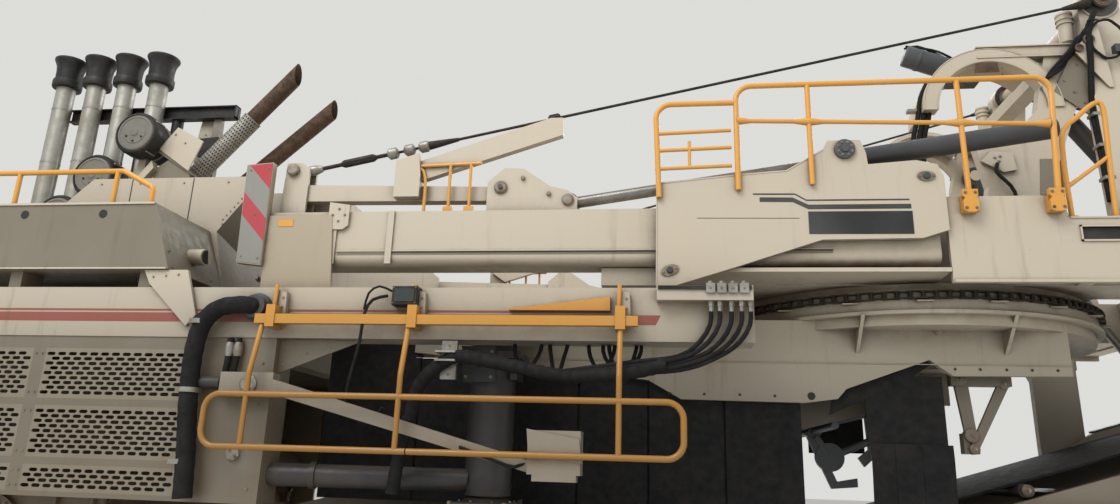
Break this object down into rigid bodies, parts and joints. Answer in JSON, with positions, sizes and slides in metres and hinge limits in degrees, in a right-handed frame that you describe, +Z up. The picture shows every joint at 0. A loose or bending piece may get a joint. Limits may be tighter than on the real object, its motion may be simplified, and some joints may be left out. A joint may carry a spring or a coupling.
{
  "type": "surface miner",
  "caption": "Four-track surface miner: cutting drum under the frame, side coolers, cab, slewing conveyor on a mast with sliding counterweight girders.",
  "frame": {"origin": "on the ground under the middle of the machine's length and width", "axes": "+X to the rear and the discharge end, -Y the machine's left side, +Z up"},
  "size_m": [27.9151, 5.7098, 6.97],
  "materials": {
    "cream_paint": "satin, weathered",
    "grille_paint": "satin",
    "orange_paint": "satin",
    "dark_paint": "satin",
    "track_steel": "worn",
    "drum_steel": "worn",
    "chain_steel": "greased",
    "engine_iron": "rough",
    "stack_steel": "dull",
    "rod_chrome": "polished",
    "exhaust_steel": "rusty",
    "black_plastic": "matte",
    "rubber_sheet": "matte",
    "rope_steel": "greased",
    "pulley_steel": "worn",
    "cab_glazing": "clear"
  },
  "bodies": {
    "machine": {"main_frame": "cream_paint", "slew_ring": "cream_paint", "slew_chain": "chain_steel", "lift_columns": "dark_paint", "cooler_walls": "cream_paint", "cooler_grilles": "grille_paint", "drum_housing": "cream_paint", "primary_conveyor": "cream_paint", "primary_belt": "rubber_sheet", "rubber_skirts": "rubber_sheet", "engine_block": "engine_iron", "engine_hood": "cream_paint", "side_decks": "cream_paint", "air_intakes": "stack_steel", "intake_caps": "black_plastic", "air_filters": "black_plastic", "exhausts": "exhaust_steel", "deck_rails": "orange_paint", "front_platform": "cream_paint", "front_rails": "orange_paint", "cab_ladder": "dark_paint", "cab_shell": "cream_paint", "cab_glass": "cab_glazing", "cab_seat": "black_plastic", "side_arms": "cream_paint", "side_rails": "orange_paint", "hydraulic_hoses": "rubber_sheet", "valve_block": "dark_paint", "work_lamps": "black_plastic"},
    "door": {"cab_door": "cream_paint", "door_glass": "cab_glazing"},
    "front_left_track": {"track_front_left": "track_steel", "crawler_front_left": "dark_paint"},
    "front_right_track": {"track_front_right": "track_steel", "crawler_front_right": "dark_paint"},
    "rear_left_track": {"track_rear_left": "track_steel", "crawler_rear_left": "dark_paint"},
    "rear_right_track": {"track_rear_right": "track_steel", "crawler_rear_right": "dark_paint"},
    "drum": {"cutting_drum": "drum_steel"},
    "upper": {"upper_frame": "cream_paint", "girder_sleeves": "cream_paint", "pylon_arch": "cream_paint", "upper_rails": "orange_paint", "mast_feet": "cream_paint"},
    "counterweight_carriage": {"counter_girders": "cream_paint", "counterweight": "cream_paint", "end_blocks": "cream_paint", "top_linkage": "cream_paint"},
    "counter_cylinders": {"counter_barrels": "dark_paint"},
    "counter_pistons": {"counter_rods": "rod_chrome"},
    "mast_frame": {"mast": "cream_paint"},
    "front_stay_pair": {"front_stays": "rope_steel"},
    "rear_stay_pair": {"rear_stays": "rope_steel"},
    "luff_cylinders": {"luff_barrels": "dark_paint"},
    "luff_pistons": {"luff_rods": "rod_chrome"},
    "conveyor": {"conveyor_frame": "cream_paint", "conveyor_ties": "dark_paint", "conveyor_belt": "rubber_sheet", "conveyor_pulleys": "pulley_steel"}
  },
  "joints": [
    {"name": "slew", "type": "hinge", "parent": "machine", "child": "upper", "pos_m": [1.45, 0, 3.27], "axis": [0, 0, 1], "range_deg": [-90, 90]},
    {"name": "luff", "type": "hinge", "parent": "upper", "child": "conveyor", "pos_m": [1.75, 0, 1.28], "axis": [0, -1, 0], "range_deg": [-10, 0]},
    {"name": "mast_tilt", "type": "hinge", "parent": "upper", "child": "mast_frame", "pos_m": [3.33, 0, 4.04], "axis": [0, -1, 0], "range_deg": [-22.84, 0]},
    {"name": "counterweight_travel", "type": "slide", "parent": "upper", "child": "counterweight_carriage", "axis": [1, 0, 0], "range_m": [0, 0.8755]},
    {"name": "counter_cylinder_swing", "type": "hinge", "parent": "upper", "child": "counter_cylinders", "pos_m": [0.58, 0, 4.43], "axis": [0, -1, 0], "range_deg": [0, 4.64]},
    {"name": "counter_piston_stroke", "type": "slide", "parent": "counter_cylinders", "child": "counter_pistons", "axis": [0.9888, 0, 0.1493], "range_m": [0, 0.8604]},
    {"name": "front_stay_swing", "type": "hinge", "parent": "counterweight_carriage", "child": "front_stay_pair", "pos_m": [-4.6, 0, 4.41], "axis": [0, -1, 0], "range_deg": [-1.77, 0]},
    {"name": "rear_stay_swing", "type": "hinge", "parent": "conveyor", "child": "rear_stay_pair", "pos_m": [11.07708, 0, 4.63351], "axis": [0, -1, 0], "range_deg": [-1.05, 0]},
    {"name": "luff_cylinder_swing", "type": "hinge", "parent": "upper", "child": "luff_cylinders", "pos_m": [2.95, 0, 5.42], "axis": [0, -1, 0], "range_deg": [-2.21, 0]},
    {"name": "luff_piston_stroke", "type": "slide", "parent": "luff_cylinders", "child": "luff_pistons", "axis": [0.5451, 0, -0.8384], "range_m": [0, 0.5608]},
    {"name": "front_left_steer", "type": "hinge", "parent": "machine", "child": "front_left_track", "pos_m": [-11.4, -2.05, 0.62], "axis": [0, 0, 1], "range_deg": [-12, 12]},
    {"name": "front_right_steer", "type": "hinge", "parent": "machine", "child": "front_right_track", "pos_m": [-11.4, 2.05, 0.62], "axis": [0, 0, 1], "range_deg": [-12, 12]},
    {"name": "rear_left_steer", "type": "hinge", "parent": "machine", "child": "rear_left_track", "pos_m": [-2.5, -2.05, 0.62], "axis": [0, 0, 1], "range_deg": [-12, 12]},
    {"name": "rear_right_steer", "type": "hinge", "parent": "machine", "child": "rear_right_track", "pos_m": [-2.5, 2.05, 0.62], "axis": [0, 0, 1], "range_deg": [-12, 12]},
    {"name": "drum_spin", "type": "hinge", "parent": "machine", "child": "drum", "pos_m": [-7, 0, 0.99], "axis": [0, 1, 0], "continuous": true},
    {"name": "door_swing", "type": "hinge", "parent": "machine", "child": "door", "pos_m": [-11.824, -2.575, 4.2], "axis": [0, 0, 1], "range_deg": [0, 100]}
  ],
  "couplings": [
    {"joint": "mast_tilt", "follows": "luff", "ratio": 2.2833},
    {"joint": "counterweight_travel", "follows": "luff", "m_per_rad": -5.0148},
    {"joint": "counter_cylinder_swing", "follows": "luff", "ratio": -0.46343},
    {"joint": "counter_piston_stroke", "follows": "luff", "m_per_rad": -4.9283},
    {"joint": "front_stay_swing", "follows": "luff", "ratio": 0.17619},
    {"joint": "rear_stay_swing", "follows": "luff", "ratio": 0.10444},
    {"joint": "luff_cylinder_swing", "follows": "luff", "ratio": 0.2204},
    {"joint": "luff_piston_stroke", "follows": "luff", "m_per_rad": -3.2114},
    {"joint": "front_right_steer", "follows": "front_left_steer", "ratio": 1},
    {"joint": "rear_right_steer", "follows": "rear_left_steer", "ratio": 1}
  ]
}
